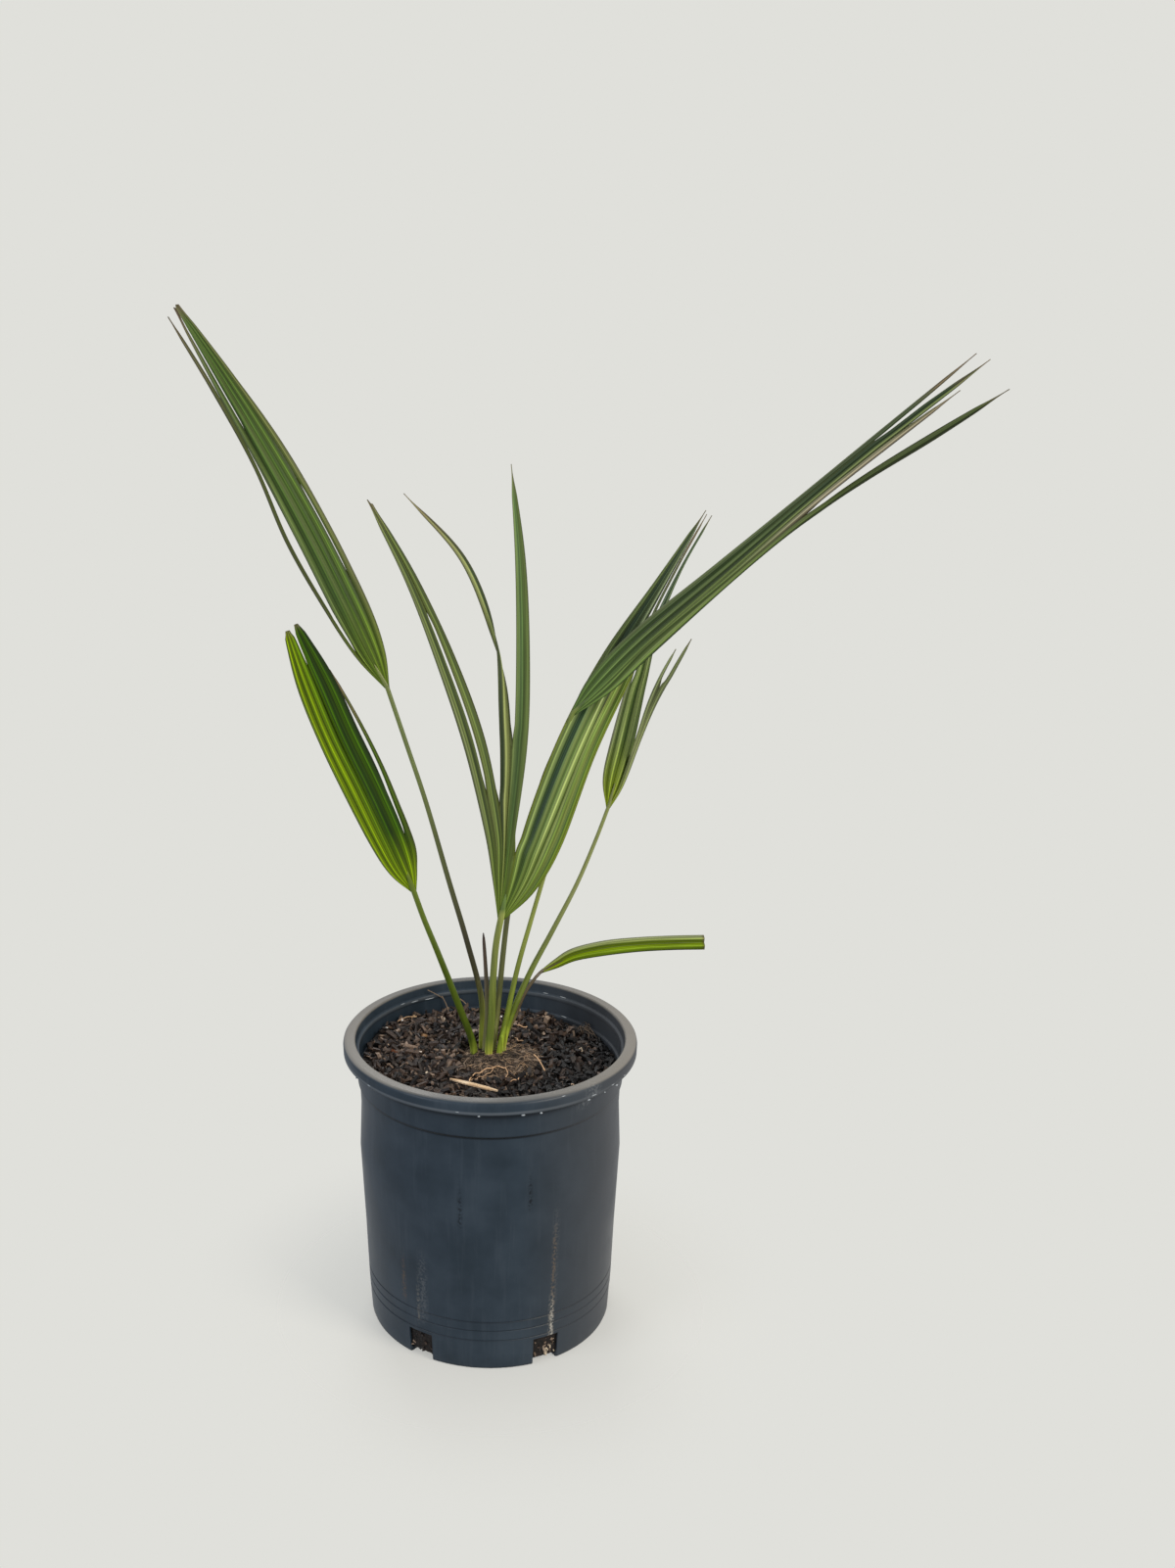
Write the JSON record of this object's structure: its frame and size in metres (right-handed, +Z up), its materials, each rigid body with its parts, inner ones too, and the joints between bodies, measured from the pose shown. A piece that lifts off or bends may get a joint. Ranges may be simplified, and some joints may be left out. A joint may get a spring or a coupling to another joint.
{
  "type": "potted cabbage palm",
  "caption": "Young cabbage palm with pleated fan fronds on thin stems, in a round black plastic nursery pot filled with bark mix.",
  "frame": {"origin": "middle of the pot's flat underside, where it stands on the floor", "axes": "+Z up along the pot's axis; -Y towards the viewer of the picture; +X to the viewer's right"},
  "size_m": [0.514, 0.2054, 0.6835],
  "materials": {
    "pot_plastic": "moulded black polypropylene, satin, with faint mineral streaks",
    "bark_mix": "coarse damp bark chips, matte",
    "matted_roots": "fibrous peat and fine roots, matte",
    "pale_wood": "raw split wood, matte",
    "frond_green": "living palm leaf, satin, with lighter ribs and darker furrows",
    "spear_brown": "dry unopened leaf, matte, dark at its tip"
  },
  "bodies": {
    "root": {"pot": "pot_plastic", "potting_mix": "bark_mix", "root_ball": "matted_roots", "wood_sliver": "pale_wood", "frond_upper_left": "frond_green", "frond_lower_left": "frond_green", "frond_centre": "frond_green", "frond_middle": "frond_green", "frond_long_right": "frond_green", "frond_small_right": "frond_green", "frond_cut_low": "frond_green", "spear_leaf": "spear_brown"}
  },
  "joints": []
}
